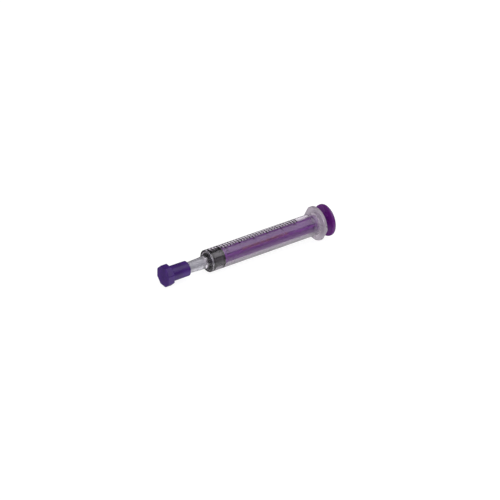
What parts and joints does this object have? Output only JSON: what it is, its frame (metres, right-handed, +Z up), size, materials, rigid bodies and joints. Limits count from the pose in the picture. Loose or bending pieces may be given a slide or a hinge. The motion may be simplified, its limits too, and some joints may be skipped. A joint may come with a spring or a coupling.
{
  "type": "oral syringe",
  "caption": "Oral syringe: clear graduated barrel with a tapered nozzle and finger flange, a purple plunger rod with a rubber seal, and a push-on eight-sided tip cap.",
  "frame": {"origin": "under the middle of the overall length, level with the lowest point of the finger flange", "axes": "+X along the syringe from the tip cap to the thumb disc, +Z up, with the syringe lying on its side"},
  "size_m": [0.0942, 0.0168, 0.0167],
  "materials": {
    "clear_barrel": "clear moulded polypropylene, glossy",
    "black_rubber": "moulded black elastomer with a siliconed sheen",
    "purple_plunger": "purple moulded polypropylene, semi-gloss",
    "purple_cap": "purple moulded polypropylene, satin",
    "black_ink": "black pad-printed ink of the scale, a visual finish with no node of its own",
    "red_ink": "red-brown pad-printed ink, a visual finish with no node of its own"
  },
  "bodies": {
    "barrel": {"barrel": "clear_barrel"},
    "seal": {"plunger_seal": "black_rubber"},
    "plunger": {"plunger_rod": "purple_plunger"},
    "cap": {"tip_cap": "purple_cap"}
  },
  "joints": [
    {"name": "plunger_slide", "type": "slide", "parent": "barrel", "child": "seal", "axis": [1, 0, 0], "range_m": [0, 0.0515]},
    {"name": "rod_turn", "type": "hinge", "parent": "seal", "child": "plunger", "pos_m": [0, 0, 0.00836], "axis": [1, 0, 0], "continuous": true},
    {"name": "cap_pull", "type": "slide", "parent": "barrel", "child": "cap", "axis": [-1, 0, 0], "range_m": [0, 0.012]}
  ]
}
